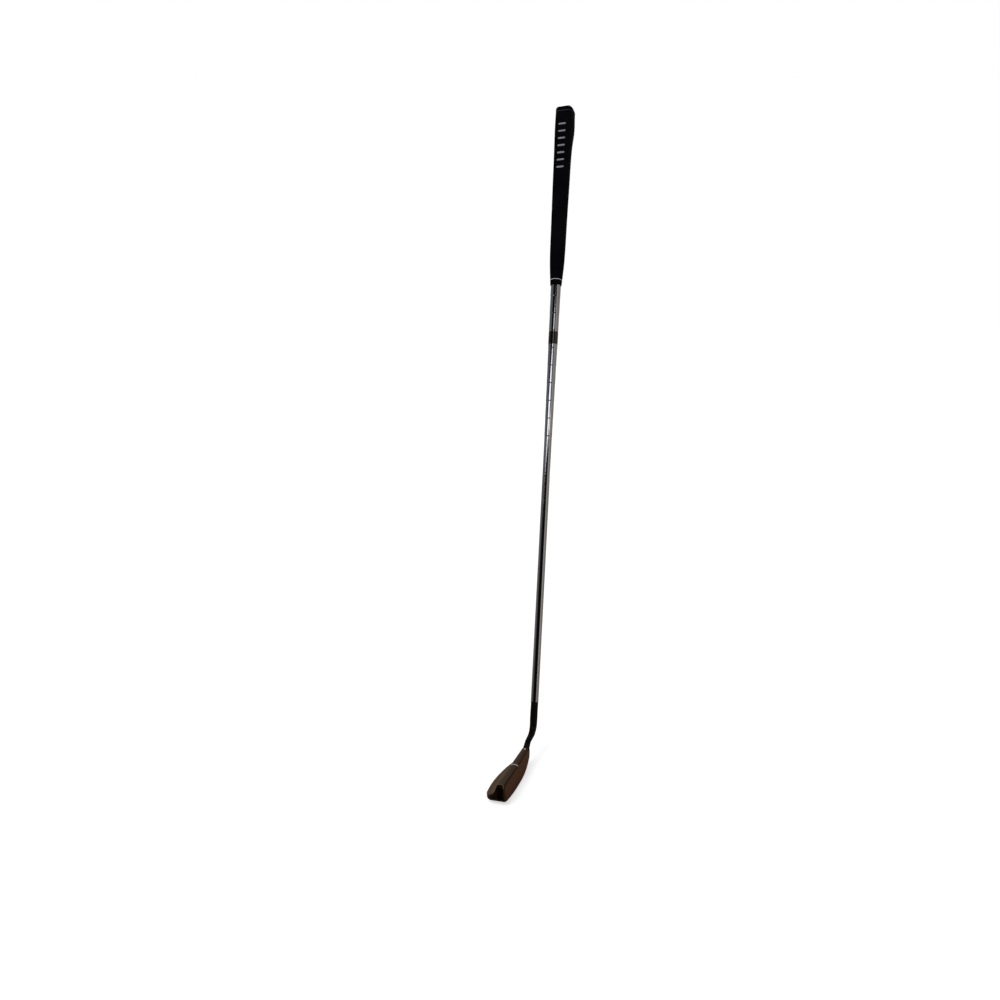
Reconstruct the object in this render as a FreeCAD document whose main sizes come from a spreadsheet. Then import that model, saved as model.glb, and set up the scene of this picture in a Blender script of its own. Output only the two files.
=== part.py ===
"""Blade putter, right-handed: a heel-shafted blade on a bent neck, a stepped tube and a swelled grip.

Millimetres, +Z up. The origin is on the ground under the alignment line: +X runs to the heel, the face
looks along -Y, and the shaft leans towards +X in the XZ plane.
"""
import FreeCAD, Part
import math
import os
import Sketcher

V = FreeCAD.Vector

# driving dimensions: name, value in millimetres or degrees, meaning
SIZES = (
    ("toe_reach", 52.0, "toe end, from the alignment line"),
    ("heel_reach", 49.0, "heel end, from the alignment line"),
    ("topline_height", 27.4, "top of the blade at the alignment line"),
    ("topline_slope", 2.0, "fall of the topline towards the heel"),
    ("topline_width", 9.4, "width of the crowned topline"),
    ("crown_rise", 1.5, "rise of the crown over the topline's edges"),
    ("front_roll", 1.8, "rounding between the crown and the face"),
    ("face_loft", 4.2, "lean of the face"),
    ("sole_flat_toe", 6.0, "flat of the sole on the toe side"),
    ("sole_flat_heel", 6.0, "flat of the sole on the heel side"),
    ("toe_rocker", 205.0, "radius of the sole towards the toe"),
    ("heel_rocker", 65.0, "radius of the sole towards the heel"),
    ("heel_corner", 15.7, "radius of the heel seen from the front"),
    ("toe_corner", 6.0, "radius of the lower toe seen from the front"),
    ("back_lean", 22.0, "lean of the wall behind the topline"),
    ("cove_radius", 20.0, "hollow between that wall and the flange"),
    ("flange_slope", 7.7, "fall of the flange towards the back"),
    ("flange_height", 6.7, "top of the flange at its back edge"),
    ("flange_reach", 25.8, "back edge of the flange, from the shaft's plane"),
    ("flange_peak", 15.0, "place of that reach, towards the toe"),
    ("back_curve", 175.0, "radius of the flange's back edge"),
    ("heel_curve", 34.0, "radius of that edge towards the heel"),
    ("heel_turn", 74.0, "direction of that edge where the heel's corner takes over"),
    ("back_toe_corner", 18.0, "radius of the toe seen from above"),
    ("back_heel_corner", 7.0, "radius of the heel seen from above"),
    ("sole_round", 4.4, "rounding between face and sole"),
    ("back_sole_round", 1.5, "rounding between the flange's back and the sole"),
    ("back_round", 0.8, "rounding of the flange's upper edge"),
    ("set_back", 0.7, "middle of the topline behind the shaft's plane"),
    ("line_width", 1.2, "width of the alignment line"),
    ("line_depth", 0.5, "depth of its groove"),
    ("dot_radius", 1.1, "radius of the alignment dot"),
    ("dot_depth", 0.5, "depth of its dimple"),
    ("dot_inset", 6.5, "heel end to the dot"),
    ("lie_angle", 73.2, "lean of the shaft over the ground"),
    ("neck_slope", 15.0, "rise of the neck's lower run"),
    ("tang_slope", 38.0, "fall of the tang into the blade"),
    ("knee_overhang", 28.7, "heel end to the corner of the neck's two runs"),
    ("knee_rise", 10.84, "foot of the heel's seat up to that corner"),
    ("upper_run", 38.0, "corner to the shoulder under the shaft"),
    ("lower_run", 28.2, "corner to the joint with the head"),
    ("bend_radius", 16.0, "radius of the neck's bend"),
    ("neck_radius", 5.05, "radius of the neck at its shoulder"),
    ("joint_half_width", 4.1, "half width of the neck at the joint"),
    ("joint_half_height", 3.0, "half height of the neck at the joint"),
    ("nose_half_width", 4.5, "half width of the heel's seat at its foot"),
    ("nose_half_height", 1.3, "half height of the heel's seat at its foot"),
    ("nose_inset", 5.0, "heel end to the foot of the heel's seat"),
    ("tang_radius", 2.2, "radius of the tang"),
    ("tang_length", 14.0, "length of the tang"),
    ("spigot_length", 28.0, "length of the spigot in the shaft"),
    ("bond_gap", 0.15, "thickness of each bond"),
    ("shaft_length", 830.0, "shoulder to the shaft's upper end"),
    ("butt_radius", 7.0, "radius of the shaft under the grip"),
    ("tip_radius", 5.2, "radius of the shaft at the neck"),
    ("shaft_wall", 0.6, "wall of the shaft"),
    ("step_count", 9, "steps drawn in the shaft"),
    ("first_step", 270.1, "upper end of the shaft to its first step"),
    ("step_pitch", 24.8, "distance between steps"),
    ("step_slant", 1.2, "length of each step's slant"),
    ("steps_over_band", 3, "steps between the grip and the band"),
    ("band_gap", 0.9, "last of those steps to the band"),
    ("band_length", 17.6, "length of the band"),
    ("band_thick", 0.2, "thickness of the band"),
    ("grip_length", 254.6, "length of the grip without its cap"),
    ("grip_half_width", 12.8, "half width of the grip at its swell"),
    ("grip_front", 10.4, "flat of the grip, from the shaft's axis"),
    ("grip_back", 22.5, "back of the grip's swell, from the shaft's axis"),
    ("cap_thick", 5.0, "thickness of the end cap"),
    ("cap_round", 2.6, "rounding of the end cap"),
    ("lip_round", 0.7, "rounding of the grip's upper edge, under the cap"),
    ("vent_radius", 1.5, "radius of the hole in the end cap"),
    ("tape_thick", 0.2, "thickness of the grip's tape"),
    ("tape_inset", 8.0, "bare shaft between the tape and the mouth"),
    ("ring_inset", 6.5, "mouth of the grip to its ring"),
    ("ring_width", 0.8, "width of the ring"),
    ("mark_count", 7, "bars on the grip's flat"),
    ("mark_pitch", 10.6, "distance between bars"),
    ("mark_width", 10.5, "length of each bar across the grip"),
    ("mark_height", 2.4, "height of each bar"),
    ("mark_depth", 0.4, "depth of each bar's recess"),
    ("first_mark", 22.0, "upper end of the grip's body to its first bar"),
    ("overrun", 8.0, "how far a cut runs past what it cuts"),
)

# sizes that follow from those above
DERIVED = (
    ("line_start", "topline_height * tan(topline_slope) + line_width / 2"),
    ("dot_reach", "heel_reach - dot_inset"),
    ("nose_reach", "heel_reach - nose_inset"),
    ("knee_reach", "heel_reach + knee_overhang"),
    ("crown_radius", "(topline_width ^ 2 / 4 + crown_rise ^ 2) / (2 * crown_rise)"),
    ("crown_centre", "topline_height - crown_radius"),
    ("edge_height", "topline_height - crown_rise"),
    ("leading_edge", "set_back - topline_width / 2 - edge_height * tan(face_loft)"),
    ("open_top", "topline_height + overrun"),
    ("nose_z", "topline_height - nose_reach * tan(topline_slope) - nose_half_height - crown_rise / 3"),
    ("knee_height", "nose_z + knee_rise"),
    ("shoulder_x", "knee_reach + upper_run * cos(lie_angle)"),
    ("shoulder_z", "knee_height + upper_run * sin(lie_angle)"),
    ("joint_x", "knee_reach - lower_run * cos(neck_slope)"),
    ("joint_z", "knee_height - lower_run * sin(neck_slope)"),
    ("bend_tangent", "bend_radius * tan((lie_angle - neck_slope) / 2)"),
    ("bend_x", "knee_reach + bend_tangent * cos(lie_angle) - bend_radius * sin(lie_angle)"),
    ("bend_z", "knee_height + bend_tangent * sin(lie_angle) + bend_radius * cos(lie_angle)"),
    ("dot_floor", "topline_height - dot_reach * tan(topline_slope) - dot_depth"),
    ("tip_bore", "tip_radius - shaft_wall"),
    ("spigot_radius", "tip_bore - bond_gap"),
    ("socket_radius", "tang_radius + bond_gap"),
    ("tape_radius", "butt_radius + tape_thick"),
    ("mouth_height", "shaft_length - grip_length"),
    ("band_radius", "butt_radius - (butt_radius - tip_radius) * steps_over_band / step_count"),
    ("band_depth", "first_step + (steps_over_band - 1) * step_pitch + step_slant + band_gap"),
)

# grip from the mouth up: length, half width, front and back as shares of the grip's sizes, the straight side
# as a share of the back, the flat as a share of the half width
GRIP_STATION_SHARES = (
    (0.000, 0.620, 0.800, 0.370, 0.02, 0.10),
    (0.036, 0.670, 0.860, 0.400, 0.02, 0.14),
    (0.093, 0.755, 0.920, 0.450, 0.02, 0.22),
    (0.151, 0.810, 0.950, 0.480, 0.02, 0.30),
    (0.262, 0.845, 0.960, 0.510, 0.02, 0.42),
    (0.491, 0.895, 0.970, 0.560, 0.03, 0.52),
    (0.717, 0.945, 0.980, 0.640, 0.05, 0.55),
    (0.774, 0.960, 0.980, 0.695, 0.10, 0.55),
    (0.828, 0.980, 0.990, 0.810, 0.20, 0.55),
    (0.885, 1.000, 1.000, 0.970, 0.33, 0.55),
    (0.943, 1.000, 1.000, 1.000, 0.38, 0.55),
    (1.000, 0.985, 0.990, 0.960, 0.36, 0.55),
)
MOUTH_WIDTH_SHARE = GRIP_STATION_SHARES[0][1]
MARKED_FRONT_SHARE = 0.98
QUARTER_SHARE = 0.5523
# stations of the neck's bend: share of its turn, and share by which the section has narrowed
BEND_STATION_SHARES = ((0.0, 0.16), (0.33, 0.34), (0.67, 0.56), (1.0, 0.78))
UPPER_RUN_SHARE = 0.65
UPPER_NARROWING_SHARE = 0.08

document = FreeCAD.newDocument("putter")
sheet = document.addObject("Spreadsheet::Sheet", "Sizes")


def fill_sheet():
    """Write the driving dimensions as text and the derived ones as formulas, each with its alias."""
    for row, (name, value, meaning) in enumerate(SIZES, start=1):
        sheet.set(f"A{row}", name)
        sheet.set(f"B{row}", str(value))
        sheet.set(f"C{row}", meaning)
        sheet.setAlias(f"B{row}", name)
    for row, (name, formula) in enumerate(DERIVED, start=len(SIZES) + 1):
        sheet.set(f"A{row}", name)
        sheet.set(f"B{row}", "=" + formula)
        sheet.setAlias(f"B{row}", name)
    document.recompute()
    names = [entry[0] for entry in SIZES + DERIVED]
    return {name: float(sheet.get(name)) for name in names}


size = fill_sheet()


def cells(formula):
    """Point each size named in a formula at its cell of the sheet."""
    out = []
    word = ""
    for letter in formula + " ":
        if letter.isalnum() or letter == "_":
            word += letter
            continue
        out.append("Sizes." + word if word in size else word)
        out.append(letter)
        word = ""
    return "".join(out).strip()


def bind(item, **formulas):
    """Bind an object's properties to formulas of the sheet's sizes."""
    for name, formula in formulas.items():
        item.setExpression(name, cells(formula))
    return item


def place(item, x="0", y="0", z="0", yaw="0", pitch="0", roll="0"):
    """Bind an object's place and its turns about Z, Y and X."""
    formula = f"placement(vector({x}; {y}; {z}); rotation({yaw}; {pitch}; {roll}))"
    item.setExpression("Placement", cells(formula))
    return item


def on_shaft(item, along="0"):
    """Stand an object on the shaft's axis, at a distance above the shoulder."""
    x = f"shoulder_x + ({along}) * cos(lie_angle)"
    z = f"shoulder_z + ({along}) * sin(lie_angle)"
    return place(item, x=x, z=z, pitch="90 - lie_angle")


def in_tang(item):
    """Lay an object along the tang, from the joint into the blade."""
    return place(item, x="joint_x", z="joint_z", pitch="-90 - tang_slope")


def cylinder(name, radius, height):
    return bind(document.addObject("Part::Cylinder", name), Radius=radius, Height=height)


def box(name, length, width, height):
    return bind(document.addObject("Part::Box", name), Length=length, Width=width, Height=height)


def cut(name, base, tool):
    item = document.addObject("Part::Cut", name)
    item.Base = base
    item.Tool = tool
    return item


def fuse(name, *items):
    item = document.addObject("Part::MultiFuse", name)
    item.Shapes = list(items)
    return item


def common(name, *items):
    item = document.addObject("Part::MultiCommon", name)
    item.Shapes = list(items)
    return item


def tube(name, inner, outer, start, height):
    """A tube round the shaft's axis, from a distance above the shoulder."""
    wall = on_shaft(cylinder(name + "_outside", outer, height), start)
    bore = on_shaft(cylinder(name + "_inside", inner, height), start)
    return cut(name, wall, bore)


def draw(sketch, edges):
    """Add a closed chain of lines and arcs to a sketch, and join each to the next.

    A line is given by its two ends, an arc by its centre, radius and two angles in degrees, anticlockwise.
    The last word says whether the edge runs smoothly into the next. Dimensions settle these guessed places.
    """
    for kind, guess, _ in edges:
        if kind == "line":
            sketch.addGeometry(Part.LineSegment(V(*guess[0]), V(*guess[1])), False)
            continue
        centre, radius, first, last = guess
        circle = Part.Circle(V(*centre), V(0, 0, 1), radius)
        sketch.addGeometry(Part.ArcOfCircle(circle, math.radians(first), math.radians(last)), False)
    for here, (_, _, smooth) in enumerate(edges):
        after = (here + 1) % len(edges)
        pairs = []
        for end in (1, 2):
            for start in (1, 2):
                gap = sketch.getPoint(here, end) - sketch.getPoint(after, start)
                pairs.append((gap.Length, end, start))
        _, end, start = min(pairs)
        joint = "Tangent" if smooth else "Coincident"
        sketch.addConstraint(Sketcher.Constraint(joint, here, end, after, start))


def hold(sketch, name, kind, places, formula, guess):
    """Add a named dimension to a sketch and bind it to the sheet."""
    index = sketch.addConstraint(Sketcher.Constraint(kind, *places, guess))
    sketch.renameConstraint(index, name)
    sketch.setExpression("Constraints." + name, cells(formula))


def hold_point(sketch, name, edge, end, x=None, y=None):
    """Bind one or both coordinates of an edge's end or centre to the sheet."""
    spot = sketch.getPoint(edge, end)
    if x is not None:
        hold(sketch, name + "_x", "DistanceX", (-1, 1, edge, end), x, spot.x)
    if y is not None:
        hold(sketch, name + "_y", "DistanceY", (-1, 1, edge, end), y, spot.y)


def prism(name, sketch, length):
    """Extrude a sketch along its normal, half to each side."""
    item = document.addObject("Part::Extrusion", name)
    item.Base = sketch
    item.DirMode = "Normal"
    item.Solid = True
    item.Symmetric = True
    return bind(item, LengthFwd=length)


def face_prism():
    """The blade seen from the front: heel, rockered sole and toe, open above the topline."""
    heel_centre = size["heel_reach"] - size["heel_corner"]
    heel_span = size["heel_rocker"] - size["heel_corner"]
    heel_turn = math.asin((heel_centre - size["sole_flat_heel"]) / heel_span)
    heel_z = size["heel_rocker"] - heel_span * math.cos(heel_turn)
    toe_centre = size["toe_reach"] - size["toe_corner"]
    toe_span = size["toe_rocker"] - size["toe_corner"]
    toe_turn = math.asin((toe_centre - size["sole_flat_toe"]) / toe_span)
    toe_z = size["toe_rocker"] - toe_span * math.cos(toe_turn)
    down_heel = math.degrees(heel_turn)
    down_toe = math.degrees(toe_turn)
    top = size["open_top"]
    sketch = place(document.addObject("Sketcher::SketchObject", "face_outline"), roll="90")
    heel_rocker = (size["sole_flat_heel"], size["heel_rocker"])
    toe_rocker = (-size["sole_flat_toe"], size["toe_rocker"])
    draw(sketch, (
        ("line", ((-size["toe_reach"], top), (size["heel_reach"], top)), False),
        ("line", ((size["heel_reach"], top), (size["heel_reach"], heel_z)), True),
        ("arc", ((heel_centre, heel_z), size["heel_corner"], down_heel - 90, 0), True),
        ("arc", (heel_rocker, size["heel_rocker"], -90, down_heel - 90), True),
        ("line", ((size["sole_flat_heel"], 0), (-size["sole_flat_toe"], 0)), True),
        ("arc", (toe_rocker, size["toe_rocker"], 270 - down_toe, 270), True),
        ("arc", ((-toe_centre, toe_z), size["toe_corner"], 180, 270 - down_toe), True),
        ("line", ((-size["toe_reach"], toe_z), (-size["toe_reach"], top)), False),
    ))
    for edge in (1, 7):
        sketch.addConstraint(Sketcher.Constraint("Vertical", edge))
    for edge in (0, 4):
        sketch.addConstraint(Sketcher.Constraint("Horizontal", edge))
    for edge, name in ((2, "heel_corner"), (3, "heel_rocker"), (5, "toe_rocker"), (6, "toe_corner")):
        hold(sketch, name, "Radius", (edge,), name, size[name])
    hold_point(sketch, "toe", 0, 1, "-toe_reach", "open_top")
    hold_point(sketch, "heel", 0, 2, "heel_reach")
    hold_point(sketch, "flat_heel", 4, 1, "sole_flat_heel")
    hold_point(sketch, "flat_toe", 4, 2, "-sole_flat_toe")
    sketch.addConstraint(Sketcher.Constraint("PointOnObject", 4, 1, -1))
    return prism("face_prism", sketch, "4 * flange_reach")


def plan_prism():
    """The head seen from above: toe corner, flange and heel."""
    front = -size["flange_reach"]
    back_y = size["flange_reach"] - size["back_curve"]
    corner_x = size["heel_reach"] - size["back_heel_corner"]
    corner_turn = math.radians(size["heel_turn"])
    reach = size["heel_curve"] - size["back_heel_corner"]
    heel_x = corner_x - reach * math.sin(corner_turn)
    heel_span = size["back_curve"] - size["heel_curve"]
    turn = math.asin((heel_x + size["flange_peak"]) / heel_span)
    heel_y = back_y + heel_span * math.cos(turn)
    corner_y = heel_y + reach * math.cos(corner_turn)
    toe_x = size["back_toe_corner"] - size["toe_reach"]
    toe_span = size["back_curve"] - size["back_toe_corner"]
    toe_turn = math.asin((toe_x + size["flange_peak"]) / toe_span)
    toe_y = back_y + toe_span * math.cos(toe_turn)
    angles = [90 - math.degrees(angle) for angle in (corner_turn, turn, toe_turn)]
    sketch = document.addObject("Sketcher::SketchObject", "plan_outline")
    draw(sketch, (
        ("line", ((-size["toe_reach"], front), (size["heel_reach"], front)), False),
        ("line", ((size["heel_reach"], front), (size["heel_reach"], corner_y)), True),
        ("arc", ((corner_x, corner_y), size["back_heel_corner"], 0, angles[0]), True),
        ("arc", ((heel_x, heel_y), size["heel_curve"], angles[0], angles[1]), True),
        ("arc", ((-size["flange_peak"], back_y), size["back_curve"], angles[1], angles[2]), True),
        ("arc", ((toe_x, toe_y), size["back_toe_corner"], angles[2], 180), True),
        ("line", ((-size["toe_reach"], toe_y), (-size["toe_reach"], front)), False),
    ))
    for edge in (1, 6):
        sketch.addConstraint(Sketcher.Constraint("Vertical", edge))
    sketch.addConstraint(Sketcher.Constraint("Horizontal", 0))
    bends = ("back_heel_corner", "heel_curve", "back_curve", "back_toe_corner")
    for edge, name in enumerate(bends, start=2):
        hold(sketch, name, "Radius", (edge,), name, size[name])
    hold_point(sketch, "front", 0, 1, "-toe_reach", "-flange_reach")
    hold_point(sketch, "heel", 0, 2, "heel_reach")
    hold_point(sketch, "back", 4, 3, "-flange_peak", "flange_reach - back_curve")
    curve_x = "heel_reach - back_heel_corner - (heel_curve - back_heel_corner) * sin(heel_turn)"
    hold_point(sketch, "heel_curve", 3, 3, curve_x)
    return prism("plan_prism", sketch, "4 * topline_height")


def section_prism():
    """The head seen from the toe: crowned topline, lofted face, flange, cove and leaning back wall."""
    half = size["topline_width"] / 2
    edge = size["edge_height"]
    low = -size["overrun"]
    loft = math.radians(size["face_loft"])
    slope = math.radians(size["flange_slope"])
    lean = math.radians(size["back_lean"])
    far = size["flange_reach"] - size["set_back"] + size["overrun"]
    far_z = size["flange_height"] - size["overrun"] * math.tan(slope)
    rise = edge - far_z - (far - half) * math.tan(slope)
    wall = rise / (math.cos(lean) - math.sin(lean) * math.tan(slope))
    corner = V(half + wall * math.sin(lean), edge - wall * math.cos(lean))
    reach = size["cove_radius"] * math.tan((math.pi / 2 - lean - slope) / 2)
    high = corner + V(-math.sin(lean), math.cos(lean)) * reach
    level = corner + V(math.cos(slope), -math.sin(slope)) * reach
    centre = level + V(math.sin(slope), math.cos(slope)) * size["cove_radius"]
    crown = V(0, size["crown_centre"])
    face_out = V(-math.cos(loft), math.sin(loft))
    face_up = V(math.sin(loft), math.cos(loft))
    start = V(-half, edge) - face_out * size["front_roll"] - crown
    lead = start.dot(face_up)
    span = size["crown_radius"] - size["front_roll"]
    roll = start + face_up * (math.sqrt(lead * lead - start.dot(start) + span * span) - lead)
    roll_start = math.degrees(math.atan2(roll.y, roll.x))
    roll = roll + crown
    face_top = roll + face_out * size["front_roll"]
    foot = -half - (edge - low) * math.tan(loft)
    crown_start = math.degrees(math.acos(half / size["crown_radius"]))
    cove_ends = (180 + size["back_lean"], 270 - size["flange_slope"])
    sketch = document.addObject("Sketcher::SketchObject", "section_outline")
    place(sketch, y="set_back", yaw="90", roll="90 + topline_slope")
    draw(sketch, (
        ("arc", ((0, size["crown_centre"]), size["crown_radius"], crown_start, roll_start), True),
        ("arc", ((roll.x, roll.y), size["front_roll"], roll_start, 180 - size["face_loft"]), True),
        ("line", ((face_top.x, face_top.y), (foot, low)), False),
        ("line", ((foot, low), (far, low)), False),
        ("line", ((far, low), (far, far_z)), False),
        ("line", ((far, far_z), (level.x, level.y)), True),
        ("arc", ((centre.x, centre.y), size["cove_radius"], *cove_ends), True),
        ("line", ((high.x, high.y), (half, edge)), False),
    ))
    sketch.addConstraint(Sketcher.Constraint("Horizontal", 3))
    sketch.addConstraint(Sketcher.Constraint("Vertical", 4))
    hold(sketch, "crown_radius", "Radius", (0,), "crown_radius", size["crown_radius"])
    hold(sketch, "front_roll", "Radius", (1,), "front_roll", size["front_roll"])
    hold(sketch, "cove_radius", "Radius", (6,), "cove_radius", size["cove_radius"])
    hold_point(sketch, "crown", 0, 3, "0", "crown_centre")
    hold_point(sketch, "back_edge", 0, 1, "topline_width / 2")
    foot_reach = "-topline_width / 2 - (edge_height + overrun) * tan(face_loft)"
    hold_point(sketch, "foot", 2, 2, foot_reach, "-overrun")
    far_height = "flange_height - overrun * tan(flange_slope)"
    hold_point(sketch, "far", 5, 1, "flange_reach - set_back + overrun", far_height)
    hold(sketch, "face_loft", "Angle", (2,), "(270 - face_loft) * 1 deg", math.pi * 3 / 2 - loft)
    hold(sketch, "flange_slope", "Angle", (5,), "(180 - flange_slope) * 1 deg", math.pi - slope)
    hold(sketch, "back_lean", "Angle", (7,), "(90 + back_lean) * 1 deg", math.pi / 2 + lean)
    return prism("section_prism", sketch, "2 * (toe_reach + heel_reach)")


def face_rounding():
    """What rounds the face's edge: all outside a quarter round, led round heel, sole and toe."""
    radius = size["sole_round"]
    inner = size["heel_reach"] - radius
    outer = size["heel_reach"] + size["overrun"]
    lead = size["leading_edge"]
    front = lead - size["overrun"]
    sketch = place(document.addObject("Sketcher::SketchObject", "rounding_outline"), z="open_top")
    draw(sketch, (
        ("arc", ((inner, lead + radius), radius, -90, 0), False),
        ("line", ((size["heel_reach"], lead + radius), (outer, lead + radius)), False),
        ("line", ((outer, lead + radius), (outer, front)), False),
        ("line", ((outer, front), (inner, front)), False),
        ("line", ((inner, front), (inner, lead)), False),
    ))
    for edge in (1, 3):
        sketch.addConstraint(Sketcher.Constraint("Horizontal", edge))
    for edge in (2, 4):
        sketch.addConstraint(Sketcher.Constraint("Vertical", edge))
    hold(sketch, "sole_round", "Radius", (0,), "sole_round", radius)
    hold_point(sketch, "centre", 0, 3, "heel_reach - sole_round", "leading_edge + sole_round")
    hold_point(sketch, "outer", 2, 2, "heel_reach + overrun", "leading_edge - overrun")
    hold_point(sketch, "arc_end", 1, 1, y="leading_edge + sole_round")
    hold_point(sketch, "arc_start", 4, 2, "heel_reach - sole_round")
    item = document.addObject("Part::Sweep", "face_rounding")
    item.Sections = [sketch]
    item.Spine = (document.getObject("face_outline"), [f"Edge{number}" for number in range(2, 9)])
    item.Solid = True
    item.Frenet = False
    return item


def rounded_block():
    """The blade and flange, with their working edges rounded."""
    solid = common("head_solid", face_prism(), plan_prism(), section_prism())
    block = cut("head_block", solid, face_rounding())
    document.recompute()
    edges = []
    for number, edge in enumerate(block.Shape.Edges, start=1):
        middle = edge.valueAt((edge.FirstParameter + edge.LastParameter) / 2)
        if edge.BoundBox.XLength < size["back_round"] or middle.z > size["edge_height"] / 2:
            continue
        if middle.y < size["topline_width"]:
            continue
        if middle.z < size["flange_height"] - size["back_round"]:
            radius = size["back_sole_round"]
        else:
            radius = size["back_round"]
        edges.append((number, radius, radius))
    item = document.addObject("Part::Fillet", "rounded_block")
    item.Base = block
    item.Edges = edges
    return item


def ellipse(name, half_width, half_height, x, z, slope):
    """A section across the neck, wider across the putter than it is high."""
    item = document.addObject("Part::Ellipse", name)
    bind(item, MajorRadius=half_width, MinorRadius=half_height)
    return place(item, x=x, z=z, yaw="90", roll=f"90 - ({slope})")


def loft(name, sections):
    item = document.addObject("Part::Loft", name)
    item.Sections = sections
    item.Solid = True
    item.Ruled = False
    return item


def neck_section(name, narrowed, x, z, slope):
    """A section of the neck, narrowed by a share from the shoulder's size to the joint's."""
    width = f"neck_radius + (joint_half_width - neck_radius) * {narrowed}"
    height = f"neck_radius + (joint_half_height - neck_radius) * {narrowed}"
    return ellipse(name, width, height, x, z, slope)


def neck_sections():
    """Sections from the shoulder down the upper run, round the bend and to the joint."""
    sections = [neck_section("neck_top", 0, "shoulder_x", "shoulder_z", "lie_angle")]
    run = f"(upper_run * {UPPER_RUN_SHARE})"
    x = f"knee_reach + {run} * cos(lie_angle)"
    z = f"knee_height + {run} * sin(lie_angle)"
    sections.append(neck_section("neck_upper", UPPER_NARROWING_SHARE, x, z, "lie_angle"))
    for number, (turn_share, narrow_share) in enumerate(BEND_STATION_SHARES):
        slope = f"(lie_angle + (neck_slope - lie_angle) * {turn_share})"
        x = f"bend_x + bend_radius * sin{slope}"
        z = f"bend_z - bend_radius * cos{slope}"
        sections.append(neck_section(f"neck_bend_{number}", narrow_share, x, z, slope))
    sections.append(neck_section("neck_end", 1, "joint_x", "joint_z", "neck_slope"))
    return sections


def make_head_blank():
    """The head before its groove, dimple and socket: the blade and the seat that the neck lands on."""
    joint = neck_section("seat_joint", 1, "joint_x", "joint_z", "neck_slope")
    nose_size = ("nose_half_width", "nose_half_height")
    nose = ellipse("seat_nose", *nose_size, "nose_reach", "nose_z", "neck_slope")
    return fuse("head_blank", rounded_block(), loft("heel_seat", [nose, joint]))


def make_line_groove():
    """The space of the alignment line: a band of even depth over the crown."""
    x = "crown_centre * sin(topline_slope) - line_start * cos(topline_slope)"
    z = "crown_centre * cos(topline_slope) + line_start * sin(topline_slope)"
    radii = {"line_outside": "crown_radius + overrun", "line_inside": "crown_radius - line_depth"}
    rounds = []
    for name, radius in radii.items():
        item = cylinder(name, radius, "line_width")
        rounds.append(place(item, x=x, y="set_back", z=z, pitch="90 + topline_slope"))
    limit = box("line_limit", "2 * overrun", "topline_width + line_depth", "2 * overrun")
    limit_y = "set_back - (topline_width + line_depth) / 2"
    place(limit, x="-overrun", y=limit_y, z="edge_height - line_depth")
    return common("line_groove", cut("line_band", *rounds), limit)


def make_head_group():
    """Head, alignment line and dot, and the bond round the tang."""
    blank = make_head_blank()
    groove = make_line_groove()
    dimple = place(cylinder("dimple", "dot_radius", "overrun"), x="dot_reach", y="set_back", z="dot_floor")
    socket = in_tang(cylinder("socket", "socket_radius", "tang_length + bond_gap"))
    tang_core = in_tang(cylinder("tang_core", "tang_radius", "tang_length"))
    return {
        "head": cut("head", blank, fuse("head_tools", groove, dimple, socket)),
        "alignment_line": common("alignment_line", blank, groove),
        "alignment_dot": common("alignment_dot", blank, dimple),
        "neck_bond": cut("neck_bond", common("socket_fill", blank, socket), tang_core),
    }


def make_neck():
    """The bent neck, with its tang below and its spigot above."""
    run = loft("neck_run", neck_sections())
    tang = in_tang(cylinder("tang", "tang_radius", "tang_length"))
    spigot = on_shaft(cylinder("spigot", "spigot_radius", "spigot_length"))
    return fuse("neck", run, tang, spigot)


def shaft_profile():
    """Corners of the shaft's wall, from its upper end down the outside and back up the bore."""
    count = int(size["step_count"])
    outside = [("butt_radius", "shaft_length")]
    for step in range(count):
        height = f"shaft_length - first_step - step_pitch * {step}"
        for passed, drop in ((step, "0"), (step + 1, "step_slant")):
            radius = f"butt_radius - (butt_radius - tip_radius) * {passed} / step_count"
            outside.append((radius, f"{height} - {drop}"))
    outside.append(("tip_radius", "0"))
    bore = [(f"{radius} - shaft_wall", height) for radius, height in reversed(outside)]
    return outside + bore


def make_shaft():
    """The stepped tube, revolved from the section of its wall."""
    body = document.addObject("PartDesign::Body", "shaft")
    upright = [plane for plane in body.Origin.OriginFeatures if plane.Role == "XZ_Plane"][0]
    sketch = body.newObject("Sketcher::SketchObject", "shaft_wall_section")
    sketch.AttachmentSupport = (upright, [""])
    sketch.MapMode = "FlatFace"
    document.recompute()
    corners = shaft_profile()
    drop = size["shaft_length"] / len(corners)
    half = len(corners) // 2
    guesses = []
    for number in range(half):
        guesses.append(V(size["butt_radius"], size["shaft_length"] - number * drop))
    for number in reversed(range(half)):
        guesses.append(V(size["butt_radius"] - size["shaft_wall"], size["shaft_length"] - number * drop))
    for here, start in enumerate(guesses):
        sketch.addGeometry(Part.LineSegment(start, guesses[(here + 1) % len(guesses)]), False)
    for here in range(len(corners)):
        sketch.addConstraint(Sketcher.Constraint("Coincident", here, 2, (here + 1) % len(corners), 1))
    for here, (radius, height) in enumerate(corners):
        hold_point(sketch, f"corner_{here}", here, 1, radius, height)
    turned = body.newObject("PartDesign::Revolution", "shaft_turned")
    turned.Profile = sketch
    turned.ReferenceAxis = (sketch, ["V_Axis"])
    turned.Angle = 360
    body.Tip = turned
    return on_shaft(body)


def quarter(start, corner, end):
    """A quarter of an ellipse from one side of a corner to the other."""
    near = start + (corner - start) * QUARTER_SHARE
    far = end + (corner - end) * QUARTER_SHARE
    curve = Part.BezierCurve()
    curve.setPoles([start, near, far, end])
    return curve.toShape()


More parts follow.
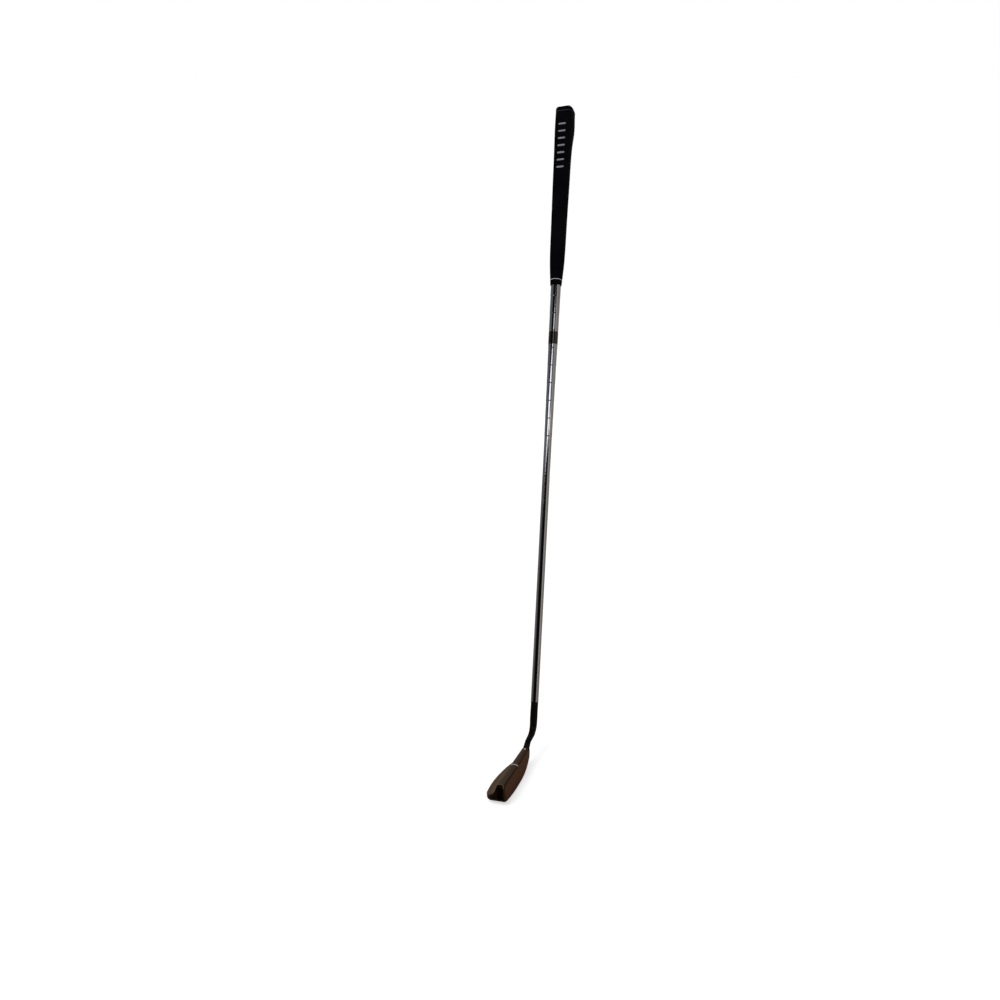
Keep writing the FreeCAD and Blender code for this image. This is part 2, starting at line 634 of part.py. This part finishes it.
def grip_wire(shares):
    """A section of the grip: flat in front, rounded to straight sides and an elliptical back."""
    along_share, width_share, front_share, back_share, side_share, flat_share = shares
    height = size["mouth_height"] + size["grip_length"] * along_share
    half = size["grip_half_width"] * width_share
    flat = half * flat_share
    front = -size["grip_front"] * front_share
    back = size["grip_back"] * back_share
    side = back * side_share

    def at(x, y):
        return V(x, y, height)

    edges = [
        Part.makeLine(at(front, -flat), at(front, flat)),
        quarter(at(front, flat), at(front, half), at(0, half)),
        Part.makeLine(at(0, half), at(side, half)),
        quarter(at(side, half), at(back, half), at(back, 0)),
        quarter(at(back, 0), at(back, -half), at(side, -half)),
        Part.makeLine(at(side, -half), at(0, -half)),
        quarter(at(0, -half), at(front, -half), at(front, -flat)),
    ]
    return Part.Wire(edges)


def moulded(name, shape):
    """A sculpted rubber shape, standing on the shaft's axis."""
    item = document.addObject("Part::Feature", name)
    item.Shape = shape
    return on_shaft(item)


def make_mark_bars():
    """The bars' recesses: one rounded bar, repeated down the flat of the grip."""
    body = document.addObject("PartDesign::Body", "mark_bars")
    planes = {plane.Role: plane for plane in body.Origin.OriginFeatures}
    sketch = body.newObject("Sketcher::SketchObject", "bar_outline")
    sketch.AttachmentSupport = (planes["YZ_Plane"], [""])
    sketch.MapMode = "FlatFace"
    inward = cells(f"mark_depth - grip_front * {MARKED_FRONT_SHARE}")
    sketch.setExpression("AttachmentOffset.Base.z", inward)
    document.recompute()
    radius = size["mark_height"] / 2
    reach = size["mark_width"] / 2 - radius
    level = size["shaft_length"] - size["first_mark"]
    draw(sketch, (
        ("line", ((-reach, level + radius), (reach, level + radius)), True),
        ("arc", ((reach, level), radius, -90, 90), True),
        ("line", ((reach, level - radius), (-reach, level - radius)), True),
        ("arc", ((-reach, level), radius, 90, 270), True),
    ))
    sketch.addConstraint(Sketcher.Constraint("Horizontal", 0))
    hold(sketch, "bar_radius", "Radius", (1,), "mark_height / 2", radius)
    hold_point(sketch, "bar_right", 1, 3, "(mark_width - mark_height) / 2", "shaft_length - first_mark")
    hold_point(sketch, "bar_left", 3, 3, "-(mark_width - mark_height) / 2")
    bar = body.newObject("PartDesign::Pad", "bar")
    bar.Profile = sketch
    bar.Reversed = True
    bind(bar, Length="overrun")
    document.recompute()
    row = body.newObject("PartDesign::LinearPattern", "bar_row")
    row.Originals = [bar]
    row.Direction = (planes["Z_Axis"], [""])
    row.Reversed = True
    bind(row, Length="mark_pitch * (mark_count - 1)", Occurrences="mark_count")
    body.Tip = row
    return on_shaft(body)


def make_cap():
    """The end cap: the grip's upper section with a rounded rim and a vent."""
    face = Part.Face(grip_wire(GRIP_STATION_SHARES[-1]))
    slab = face.extrude(V(0, 0, size["cap_thick"]))
    top = size["shaft_length"] + size["cap_thick"]
    rim = [edge for edge in slab.Edges if edge.BoundBox.ZMin > top - size["cap_round"]]
    cap = moulded("cap_slab", slab.makeFillet(size["cap_round"], rim))
    vent = on_shaft(cylinder("vent", "vent_radius", "cap_thick + 2 * overrun"), "shaft_length - overrun")
    return cut("grip_cap", cap, vent)


def make_grip_group():
    """Grip, cap, ring, bars and the tape under the grip."""
    body = Part.makeLoft([grip_wire(shares) for shares in GRIP_STATION_SHARES], True, False)
    lip = [edge for edge in body.Edges if edge.BoundBox.ZMin > size["shaft_length"] - size["lip_round"]]
    blank = moulded("grip_blank", body.makeFillet(size["lip_round"], lip))
    ring_bore = f"grip_half_width * {MOUTH_WIDTH_SHARE}"
    ring_start = "mouth_height + ring_inset"
    ring_space = tube("ring_space", ring_bore, "grip_back + overrun", ring_start, "ring_width")
    bars = make_mark_bars()
    shaft_space = cylinder("shaft_space", "butt_radius", "grip_length + 2 * overrun")
    on_shaft(shaft_space, "mouth_height - overrun")
    tape_start = "mouth_height + tape_inset"
    tape_length = "grip_length - tape_inset"
    tape_space = cylinder("tape_space", "tape_radius", tape_length + " + overrun")
    on_shaft(tape_space, tape_start)
    tools = fuse("grip_tools", shaft_space, tape_space, ring_space, bars)
    return {
        "grip": cut("grip", blank, tools),
        "grip_cap": make_cap(),
        "grip_ring": common("grip_ring", blank, ring_space),
        "grip_marks": common("grip_marks", blank, bars),
        "grip_tape": tube("grip_tape", "butt_radius", "tape_radius", tape_start, tape_length),
    }


def make_shaft_group():
    """Shaft, the bond round the neck's spigot, and the band."""
    band_start = "shaft_length - band_depth - band_length"
    band_outside = "band_radius + band_thick"
    return {
        "shaft": make_shaft(),
        "shaft_bond": tube("shaft_bond", "spigot_radius", "tip_bore", "0", "spigot_length"),
        "shaft_band": tube("shaft_band", "band_radius", band_outside, band_start, "band_length"),
    }


def check(nodes):
    """Stop at any failed object or broken solid."""
    for item in document.Objects:
        bad = [word for word in item.State if word in ("Invalid", "Error")]
        if bad:
            raise RuntimeError(f"{item.Name} is {bad}")
    for name, item in nodes.items():
        shape = item.Shape
        if shape.isNull() or not shape.isValid() or not shape.Solids:
            raise RuntimeError(f"{name} has no valid solid")


def main():
    nodes = make_head_group()
    nodes["neck"] = make_neck()
    nodes.update(make_shaft_group())
    nodes.update(make_grip_group())
    document.recompute()
    check(nodes)
    os.makedirs("parts", exist_ok=True)
    for name, item in nodes.items():
        item.Label = name
        item.Shape.exportStep(f"parts/{name}.step")
        print(f"{name}: {len(item.Shape.Solids)} solids, {item.Shape.Volume:.1f} cubic mm")


main()
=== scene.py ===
"""Looks of the blade putter: a bronzed head, an enamelled neck, a chromed shaft and a rubber grip."""
import math

import bpy
from mathutils import Matrix, Vector

MM = 0.001

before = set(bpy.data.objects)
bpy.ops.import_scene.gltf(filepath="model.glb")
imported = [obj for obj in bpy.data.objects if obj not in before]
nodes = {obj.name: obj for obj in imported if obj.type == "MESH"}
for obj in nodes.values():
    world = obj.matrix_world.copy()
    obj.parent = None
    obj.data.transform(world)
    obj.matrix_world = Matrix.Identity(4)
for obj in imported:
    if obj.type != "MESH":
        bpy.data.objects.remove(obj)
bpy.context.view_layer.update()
scene = bpy.context.scene


def colour(code):
    """A hex sRGB colour as the linear colour that a shader takes."""
    shades = [int(code[start:start + 2], 16) / 255 for start in (1, 3, 5)]
    linear = [shade / 12.92 if shade <= 0.04045 else ((shade + 0.055) / 1.055) ** 2.4 for shade in shades]
    return (*linear, 1.0)


def add(tree, kind, inputs=(), **settings):
    """Add a node with its settings and links.

    Inputs come in the order of the sockets, or by name or number. A socket or a node is linked.
    """
    made = tree.nodes.new(kind)
    for name, value in settings.items():
        setattr(made, name, value)
    for socket, value in inputs.items() if isinstance(inputs, dict) else enumerate(inputs):
        if isinstance(value, bpy.types.Node):
            value = value.outputs[0]
        if isinstance(value, bpy.types.NodeSocket):
            tree.links.new(value, made.inputs[socket])
        else:
            made.inputs[socket].default_value = value
    return made


# a Mix node's sockets for colours: what is mixed, and the mixture
FACTOR, BELOW, ABOVE = 0, 6, 7
MIXED = 2


def new_material(name):
    """An empty node material, its tree and the point on the object in metres."""
    material = bpy.data.materials.new(name)
    material.use_nodes = True
    tree = material.node_tree
    tree.nodes.clear()
    return material, tree, add(tree, "ShaderNodeTexCoord").outputs["Object"]


def per_mm(size):
    """The scale of a pattern whose largest spots have a size in millimetres."""
    return 1 / (size * MM)


# zones of the head: their axis, and the millimetres at which each begins and is full
HEAD_ZONES = {
    "toe": ("X", -46.8, -48.6),
    "toe corner": ("X", -44.0, -48.0),
    "inside the toe's edge": ("X", -51.99, -51.95),
    "toe's rim": ("X", -50.4, -51.0),
    "heel's seat": ("X", 44.2, 45.2),
    "behind the face's edge": ("Y", -4.9, -4.3),
    "crown": ("Y", -3.7, -2.7),
    "hollow": ("Y", 4.5, 7.0),
    "flange's end": ("Y", 10.0, 15.0),
    "low": ("Z", 16.0, 13.5),
    "high at the toe": ("Z", 23.0, 25.0),
    "high": ("Z", 23.5, 25.0),
}
# the bronze's shades, from the lowest up, each where all its masks meet: the patina's own tones, and painted
# light and shade as marked
BARE_BROWN = "#643e28"
BRONZE_TONES_AND_PAINTED_LIGHT = (
    (("clouds",), "#6d3f2b"),
    (("patches",), "#513424"),
    # painted shade: the toe darker and greyer, for the dark floor its end reflects
    (("toe",), "#4c3a2f"),
    # painted light: the hollow behind the crown paler, for the lit wall it reflects
    (("hollow",), "#8d7a68"),
    # painted shade: a dark line where the face rolls into the crown
    (("high", "behind the face's edge"), "#2c1d14"),
    # painted reflection: the crown greyer, for the sky it reflects
    (("high", "crown"), "#75655a"),
    # painted highlight along the toe's top edge, where a rounded edge would catch the light
    (("inside the toe's edge", "toe's rim", "high at the toe", "crown"), "#a8937f"),
    # painted shade low at the toe's corner of the flange
    (("low", "toe corner", "flange's end"), "#3f2c20"),
    # painted shade: darkest where the surface faces down
    (("shaded underside",), "#17100b"),
    (("heel's seat",), "#0b0707"),
)


def antique_bronze():
    """Cast brass under a hot chemical patina, wiped and waxed by hand: dark brown, satin, in soft clouds.

    The face is redder. The crown is greyer, a painted reflection of the sky, with a dark line of
    painted shade where the face rolls into it, and the hollow behind it is paler, painted light.
    The toe is darker and greyer, a painted dark reflection, with a painted highlight along its top edge
    and painted shade low at its corner. What faces down is darkest, painted shade, and the seat at the
    heel is dipped in the neck's black enamel.
    """
    material, tree, spot = new_material("antique_bronze")
    place = add(tree, "ShaderNodeSeparateXYZ", (spot,)).outputs
    facing = add(tree, "ShaderNodeNewGeometry").outputs["Normal"]
    rise = add(tree, "ShaderNodeSeparateXYZ", (facing,)).outputs["Z"]
    clouds = add(tree, "ShaderNodeTexNoise", {"Vector": spot, "Scale": per_mm(14), "Detail": 3.0})
    fine = {"Vector": spot, "Scale": per_mm(3.2), "Detail": 5.0, "Roughness": 0.65}
    patches = add(tree, "ShaderNodeTexNoise", fine)
    # what each mask is read from, where it begins and is full, and how strong it is there
    ranges = {
        "clouds": (clouds, 0.35, 0.65, 0, 1),
        "patches": (patches, 0.40, 0.80, 0, 0.6),
        # painted shade, by how far the surface faces down
        "shaded underside": (rise, -0.15, -0.55, 0, 1),
    }
    for name, (axis, begins, full) in HEAD_ZONES.items():
        ranges[name] = (place[axis], begins * MM, full * MM, 0, 1)
    masks = {
        name: add(tree, "ShaderNodeMapRange", inputs, interpolation_type="SMOOTHSTEP")
        for name, inputs in ranges.items()
    }
    # the patina's own tones, with painted light and shade laid over them
    paint = colour(BARE_BROWN)
    for names, shade in BRONZE_TONES_AND_PAINTED_LIGHT:
        mask = masks[names[0]]
        for name in names[1:]:
            mask = add(tree, "ShaderNodeMath", (mask, masks[name]), operation="MULTIPLY")
        laid = {FACTOR: mask, BELOW: paint, ABOVE: colour(shade)}
        paint = add(tree, "ShaderNodeMix", laid, data_type="RGBA").outputs[MIXED]
    along = add(tree, "ShaderNodeMapping", {"Vector": spot, "Scale": (0.05, 1, 1)})
    wiped = add(tree, "ShaderNodeTexNoise", {"Vector": along, "Scale": per_mm(0.7), "Detail": 4.0})
    metal = add(tree, "ShaderNodeBsdfPrincipled", {
        "Base Color": paint,
        "Metallic": add(tree, "ShaderNodeMath", (1.0, masks["heel's seat"]), operation="SUBTRACT"),
        "Roughness": add(tree, "ShaderNodeMapRange", (patches, 0.3, 0.7, 0.30, 0.42)),
        "Specular Tint": colour("#f2eae3"),
        "Normal": add(tree, "ShaderNodeBump", {"Height": wiped, "Distance": 0.015 * MM}),
    })
    add(tree, "ShaderNodeOutputMaterial", (metal,))
    return material


def black_enamel():
    """Black baked enamel on bent steel rod: even, with a low gloss, a faint orange peel and a little dust."""
    material, tree, spot = new_material("black_enamel")
    specks = {"Vector": spot, "Scale": per_mm(5), "Detail": 6.0, "Roughness": 0.7}
    specks = add(tree, "ShaderNodeTexNoise", specks)
    dust = add(tree, "ShaderNodeMapRange", (specks, 0.45, 0.75, 0, 1), interpolation_type="SMOOTHSTEP")
    paint = {FACTOR: dust, BELOW: colour("#0a0606"), ABOVE: colour("#120d0d")}
    peel = add(tree, "ShaderNodeTexNoise", {"Vector": spot, "Scale": per_mm(1.4)})
    enamel = add(tree, "ShaderNodeBsdfPrincipled", {
        "Base Color": add(tree, "ShaderNodeMix", paint, data_type="RGBA").outputs[MIXED],
        "Roughness": add(tree, "ShaderNodeMapRange", (dust, 0, 1, 0.30, 0.42)),
        "Specular IOR Level": 0.12,
        "Normal": add(tree, "ShaderNodeBump", {"Height": peel, "Distance": 0.006 * MM}),
    })
    add(tree, "ShaderNodeOutputMaterial", (enamel,))
    return material


def chrome_plate():
    """Chrome plate on drawn steel tube: a cool mirror, with a faint haze of handling."""
    material, tree, spot = new_material("chrome_plate")
    touched = {"Vector": spot, "Scale": per_mm(22), "Detail": 5.0, "Roughness": 0.6}
    touched = add(tree, "ShaderNodeTexNoise", touched)
    haze = add(tree, "ShaderNodeMapRange", (touched, 0.35, 0.75, 0, 1), interpolation_type="SMOOTHSTEP")
    plate = {FACTOR: haze, BELOW: colour("#c6c7ca"), ABOVE: colour("#bebfc1")}
    metal = add(tree, "ShaderNodeBsdfPrincipled", {
        "Base Color": add(tree, "ShaderNodeMix", plate, data_type="RGBA").outputs[MIXED],
        "Metallic": 1.0,
        "Roughness": add(tree, "ShaderNodeMapRange", (haze, 0, 1, 0.06, 0.12)),
    })
    add(tree, "ShaderNodeOutputMaterial", (metal,))
    return material


def gloss_film():
    """Black film on the tube under clear lacquer: deep gloss, with warm specks where it has worn."""
    material, tree, spot = new_material("gloss_film")
    scuffs = {"Vector": spot, "Scale": per_mm(2.2), "Detail": 4.0, "Roughness": 0.7}
    scuffs = add(tree, "ShaderNodeTexNoise", scuffs)
    worn = add(tree, "ShaderNodeMapRange", (scuffs, 0.58, 0.72, 0, 1), interpolation_type="SMOOTHSTEP")
    ink = {FACTOR: worn, BELOW: colour("#060304"), ABOVE: colour("#2a1210")}
    film = add(tree, "ShaderNodeBsdfPrincipled", {
        "Base Color": add(tree, "ShaderNodeMix", ink, data_type="RGBA").outputs[MIXED],
        "Roughness": add(tree, "ShaderNodeMapRange", (worn, 0, 1, 0.16, 0.3)),
        "Specular IOR Level": 0.0,
        "Coat Weight": 1.0,
        "Coat Roughness": 0.02,
        "Coat IOR": 1.7,
    })
    add(tree, "ShaderNodeOutputMaterial", (film,))
    return material


# the grip's axis, how far along it the line just under the cap runs round, grey as a painted highlight
# on the grip's edge there, and the line's width, over which it also fades on either side
GRIP_AXIS = (0.28903, 0, 0.95732)
SEAM = 922.0 * MM
SEAM_WIDTH = 0.4 * MM


def grip_rubber():
    """Moulded black rubber: matt, faintly blue, with a fine grain, and a grey line under its cap, a painted
    highlight.
    """
    material, tree, spot = new_material("grip_rubber")
    grain = {"Vector": spot, "Scale": per_mm(0.9)}
    grain = add(tree, "ShaderNodeTexVoronoi", grain, feature="SMOOTH_F1")
    held = add(tree, "ShaderNodeTexNoise", {"Vector": spot, "Scale": per_mm(35), "Detail": 3.0})
    rubbed = add(tree, "ShaderNodeMapRange", (held, 0.35, 0.65, 0, 1), interpolation_type="SMOOTHSTEP")
    shades = {FACTOR: rubbed, BELOW: colour("#05050a"), ABOVE: colour("#09090e")}
    shades = add(tree, "ShaderNodeMix", shades, data_type="RGBA").outputs[MIXED]
    along = add(tree, "ShaderNodeVectorMath", (spot, GRIP_AXIS), operation="DOT_PRODUCT").outputs["Value"]
    under = add(tree, "ShaderNodeMapRange", (along, SEAM - 2 * SEAM_WIDTH, SEAM - SEAM_WIDTH, 0, 1))
    over = add(tree, "ShaderNodeMapRange", (along, SEAM, SEAM + SEAM_WIDTH, 1, 0))
    painted_seam_highlight = add(tree, "ShaderNodeMath", (under, over), operation="MULTIPLY")
    # painted highlight: the grey line under the cap, where the grip's edge would catch the light
    shades = {FACTOR: painted_seam_highlight, BELOW: shades, ABOVE: colour("#37373b")}
    rubber = add(tree, "ShaderNodeBsdfPrincipled", {
        "Base Color": add(tree, "ShaderNodeMix", shades, data_type="RGBA").outputs[MIXED],
        "Roughness": add(tree, "ShaderNodeMapRange", (rubbed, 0, 1, 0.78, 0.66)),
        "Specular IOR Level": 0.04,
        "Normal": add(tree, "ShaderNodeBump", {"Height": grain, "Distance": 0.06 * MM, "Strength": 0.7}),
    })
    add(tree, "ShaderNodeOutputMaterial", (rubber,))
    return material


def paint_fill(name, fresh, worn_shade):
    """Enamel filled into a groove and wiped level: satin, and greyer where it has worn."""
    material, tree, spot = new_material(name)
    scuffs = {"Vector": spot, "Scale": per_mm(1.6), "Detail": 5.0, "Roughness": 0.7}
    scuffs = add(tree, "ShaderNodeTexNoise", scuffs)
    worn = add(tree, "ShaderNodeMapRange", (scuffs, 0.5, 0.8, 0, 1), interpolation_type="SMOOTHSTEP")
    shades = {FACTOR: worn, BELOW: colour(fresh), ABOVE: colour(worn_shade)}
    paint = add(tree, "ShaderNodeBsdfPrincipled", {
        "Base Color": add(tree, "ShaderNodeMix", shades, data_type="RGBA").outputs[MIXED],
        "Roughness": add(tree, "ShaderNodeMapRange", (worn, 0, 1, 0.42, 0.6)),
        "Normal": add(tree, "ShaderNodeBump", {"Height": scuffs, "Distance": 0.01 * MM}),
    })
    add(tree, "ShaderNodeOutputMaterial", (paint,))
    return material


def white_paint():
    """White enamel in the alignment line and the grip's ring, a little dulled by wiping."""
    return paint_fill("white_paint", "#ccc4bb", "#9a928b")


def bright_dot_paint():
    """The same paint in the dot, brighter than in the line."""
    return paint_fill("bright_dot_paint", "#f0ebe4", "#cfc8c0")


def greyed_paint():
    """The same paint on the grip, dulled by hands."""
    return paint_fill("greyed_paint", "#868689", "#6d6d6f")


def cured_epoxy():
    """Cured epoxy in a bond line: amber, slightly cloudy and glossy."""
    material, tree, spot = new_material("cured_epoxy")
    cloud = add(tree, "ShaderNodeTexNoise", {"Vector": spot, "Scale": per_mm(2), "Detail": 4.0})
    shades = {FACTOR: cloud, BELOW: colour("#cdb98a"), ABOVE: colour("#b79c66")}
    glue = add(tree, "ShaderNodeBsdfPrincipled", {
        "Base Color": add(tree, "ShaderNodeMix", shades, data_type="RGBA").outputs[MIXED],
        "Roughness": add(tree, "ShaderNodeMapRange", (cloud, 0.3, 0.7, 0.25, 0.4)),
    })
    add(tree, "ShaderNodeOutputMaterial", (glue,))
    return material


def paper_tape():
    """Crepe paper tape: cream, matt, with fine wrinkles across it."""
    material, tree, spot = new_material("paper_tape")
    squeezed = add(tree, "ShaderNodeMapping", {"Vector": spot, "Scale": (0.3, 0.3, 1)})
    crepe = add(tree, "ShaderNodeTexNoise", {"Vector": squeezed, "Scale": per_mm(0.6), "Detail": 4.0})
    shades = {FACTOR: crepe, BELOW: colour("#d8cfb8"), ABOVE: colour("#c2b798")}
    tape = add(tree, "ShaderNodeBsdfPrincipled", {
        "Base Color": add(tree, "ShaderNodeMix", shades, data_type="RGBA").outputs[MIXED],
        "Roughness": add(tree, "ShaderNodeMapRange", (crepe, 0.3, 0.7, 0.8, 0.95)),
        "Normal": add(tree, "ShaderNodeBump", {"Height": crepe, "Distance": 0.08 * MM}),
    })
    add(tree, "ShaderNodeOutputMaterial", (tape,))
    return material


FINISHES = (
    (antique_bronze, ("head",)),
    (white_paint, ("alignment_line", "grip_ring")),
    (bright_dot_paint, ("alignment_dot",)),
    (greyed_paint, ("grip_marks",)),
    (black_enamel, ("neck",)),
    (chrome_plate, ("shaft",)),
    (gloss_film, ("shaft_band",)),
    (grip_rubber, ("grip", "grip_cap")),
    (cured_epoxy, ("neck_bond", "shaft_bond")),
    (paper_tape, ("grip_tape",)),
)


def finish_nodes():
    """Give every CAD node the material of the real piece."""
    for make, names in FINISHES:
        material = make()
        for name in names:
            mesh = nodes[name].data
            mesh.materials.clear()
            mesh.materials.append(material)


# the photograph's camera: where it stands in metres, its axes, and its focal length in pixels
EYE = Vector((-0.861597, -0.311879, 0.544302))
RIGHT = Vector((0.33559172, -0.94101806, -0.04316487))
UP = Vector((0.19527525, 0.02466719, 0.98043822))
FOCAL_PX = 796.407
PICTURE_PX = 1000
SENSOR_MM = 36.0
# the picture's points were read at the pixels' middles
HALF_PIXEL = 0.5 / PICTURE_PX


def make_camera():
    """The photograph's camera, shifted by half a pixel."""
    lens = bpy.data.cameras.new("camera")
    lens.sensor_width = SENSOR_MM
    lens.lens = FOCAL_PX / PICTURE_PX * SENSOR_MM
    lens.shift_x = -HALF_PIXEL
    lens.shift_y = HALF_PIXEL
    camera = bpy.data.objects.new("camera", lens)
    scene.collection.objects.link(camera)
    turn = Matrix((RIGHT, UP, RIGHT.cross(UP))).transposed()
    camera.matrix_world = Matrix.Translation(EYE) @ turn.to_4x4()
    scene.camera = camera


def shown_strength(tree, plain, shown):
    """The strength that cameras and reflections see, and the plain one that lights the object."""
    path = add(tree, "ShaderNodeLightPath")
    seen = (path.outputs["Is Camera Ray"], path.outputs["Is Glossy Ray"])
    seen = add(tree, "ShaderNodeMath", seen, operation="MAXIMUM")
    seen = (seen, path.outputs["Is Transmission Ray"])
    seen = add(tree, "ShaderNodeMath", seen, operation="MAXIMUM")
    return add(tree, "ShaderNodeMapRange", (seen, 0, 1, plain, shown))


# strengths of the sky's light and of the sky that is seen, and of the floor's glow and the sun
AMBIENT = 0.45
SKY_SHOWN = 1.0
FLOOR_GLOW = 0.62
SUN_STRENGTH = 1.5
# the sun's width in degrees, and the floor's in metres
SUN_ANGLE = 28
FLOOR_SIZE = 60


def make_world():
    """A white sky behind everything, whose light on the object is plain and soft."""
    world = bpy.data.worlds.new("studio")
    world.use_nodes = True
    tree = world.node_tree
    tree.nodes.clear()
    strength = shown_strength(tree, AMBIENT, SKY_SHOWN)
    sky = add(tree, "ShaderNodeBackground", (colour("#ffffff"), strength))
    add(tree, "ShaderNodeOutputWorld", (sky,))
    scene.world = world


def make_floor():
    """A pale painted floor that carries the putter's shadow."""
    bpy.ops.mesh.primitive_plane_add(size=FLOOR_SIZE, location=(0, 0, 0))
    floor = bpy.context.object
    floor.name = "floor"
    material, tree, _ = new_material("pale_floor")
    glow = add(tree, "ShaderNodeEmission", {"Strength": shown_strength(tree, 0.0, FLOOR_GLOW)})
    paint = add(tree, "ShaderNodeBsdfDiffuse", (colour("#c8c8c8"),))
    both = add(tree, "ShaderNodeAddShader", (paint, glow))
    add(tree, "ShaderNodeOutputMaterial", (both,))
    floor.data.materials.append(material)


# directions on the floor: from the putter towards the camera, and to the picture's right
TOWARDS_CAMERA = Vector((-0.9397, -0.3420, 0))
TO_RIGHT = Vector((0.3420, -0.9397, 0))
# the direction of the sun, above the camera's left shoulder
TO_SUN = TOWARDS_CAMERA * 0.5 - TO_RIGHT * 0.45 + Vector((0, 0, 0.9))
# the spot on the floor that the cards stand round
CARD_CENTRE = Vector((0.15, 0, 0))
# cards: name, metres towards the camera and to the right, lower and upper edge, width, turn,
# shade, strength
CARDS = (
    ("card_front", 2.0, 0.0, 0.0, 2.8, 4.0, 0, "#0c0d10", 1.0),
    ("card_window", 1.95, -0.85, 1.42, 1.86, 1.5, 0, "#eef4ff", 2.2),
    ("card_second_window", 1.94, 0.0, 1.42, 1.98, 0.7, 0, "#e6ebf2", 1.5),
    ("card_sill_light", 1.93, 0.85, 1.30, 1.39, 1.3, 0, "#fff4e6", 1.5),
    ("card_sill_light_left", 1.5, -1.96, 1.30, 1.38, 0.9, 90, "#fff4e6", 0.9),
    ("card_front_right", 1.97, 1.7, 0.0, 2.8, 0.6, 0, "#b5aea6", 1.0),
    ("card_left", 0.0, -2.0, 0.0, 2.8, 4.0, 90, "#6e6f70", 1.0),
    ("card_left_dark", 1.4, -1.98, 0.0, 1.5, 1.2, 90, "#3a3b3e", 1.0),
    ("card_left_black", 1.4, -1.98, 1.5, 2.8, 1.2, 90, "#17181b", 1.0),
    ("card_right", 0.0, 2.0, 0.0, 2.8, 4.0, 90, "#958f88", 1.0),
    ("card_right_near", 1.45, 1.98, 0.0, 2.8, 1.1, 90, "#aaa39b", 1.0),
    ("card_back", -2.0, 0.0, 0.0, 2.8, 4.0, 0, "#8a857e", 1.0),
)
UPRIGHT = math.radians(90)
# the ceiling: height, reach, shade
CEILING = (2.8, (4, 4), "#4a4846")
# mats: name, middle along X and Y, reach along X and Y, height, shade
MATS = (
    ("mat_under", 0.15, 0.0, 4.2, 4.2, 0.2 * MM, "#a09588"),
    # a dark sheet beyond the toe: painted shadow, which the toe's end reflects
    ("painted_shadow_beyond_toe", -0.854, 0.995, 1.6, 2.0, 0.4 * MM, "#241f1b"),
)


def make_plane(name, place, reach, turn=(0, 0, 0)):
    """A plane that only reflections see, as studios set round shiny things, and its material's tree."""
    bpy.ops.mesh.primitive_plane_add(size=1, location=place, rotation=turn)
    plane = bpy.context.object
    plane.name = name
    plane.scale = (*reach, 1)
    for ray in ("camera", "diffuse", "transmission", "volume_scatter", "shadow"):
        setattr(plane, "visible_" + ray, False)
    material, tree, _ = new_material(name)
    plane.data.materials.append(material)
    return tree


def make_cards():
    """Upright cards and a ceiling that glow in the reflections."""
    facing = math.atan2(TO_RIGHT.y, TO_RIGHT.x)
    for name, away, right, low, high, width, turn, shade, strength in CARDS:
        middle = CARD_CENTRE + TOWARDS_CAMERA * away + TO_RIGHT * right + Vector((0, 0, (low + high) / 2))
        turned = (UPRIGHT, 0, facing + math.radians(turn))
        tree = make_plane(name, middle, (width, high - low), turned)
        glow = add(tree, "ShaderNodeEmission", (colour(shade), strength))
        add(tree, "ShaderNodeOutputMaterial", (glow,))
    height, reach, shade = CEILING
    tree = make_plane("card_ceiling", CARD_CENTRE + Vector((0, 0, height)), reach, (0, 0, facing))
    glow = add(tree, "ShaderNodeEmission", (colour(shade), 1.0))
    add(tree, "ShaderNodeOutputMaterial", (glow,))


def make_mats():
    """Carpets that darken the floor's reflection, and that the lamps light and the putter shades; the darker
    one beyond the toe is a painted shadow.
    """
    for name, x, y, reach_x, reach_y, height, shade in MATS:
        tree = make_plane(name, (x, y, height), (reach_x, reach_y))
        wool = add(tree, "ShaderNodeBsdfDiffuse", (colour(shade),))
        add(tree, "ShaderNodeOutputMaterial", (wool,))


def make_lamps():
    """One broad soft sun, which the cards replace in reflections."""
    lamp = bpy.data.lights.new("key_light", "SUN")
    lamp.energy = SUN_STRENGTH
    lamp.angle = math.radians(SUN_ANGLE)
    key = bpy.data.objects.new("key_light", lamp)
    scene.collection.objects.link(key)
    key.rotation_euler = TO_SUN.to_track_quat("Z", "Y").to_euler()
    key.visible_glossy = False


def make_studio():
    """The camera and all that lights the putter or shows in it."""
    bpy.ops.object.select_all(action="DESELECT")
    make_camera()
    make_world()
    make_floor()
    make_lamps()
    make_cards()
    make_mats()


scene.view_settings.view_transform = "Standard"
finish_nodes()
make_studio()
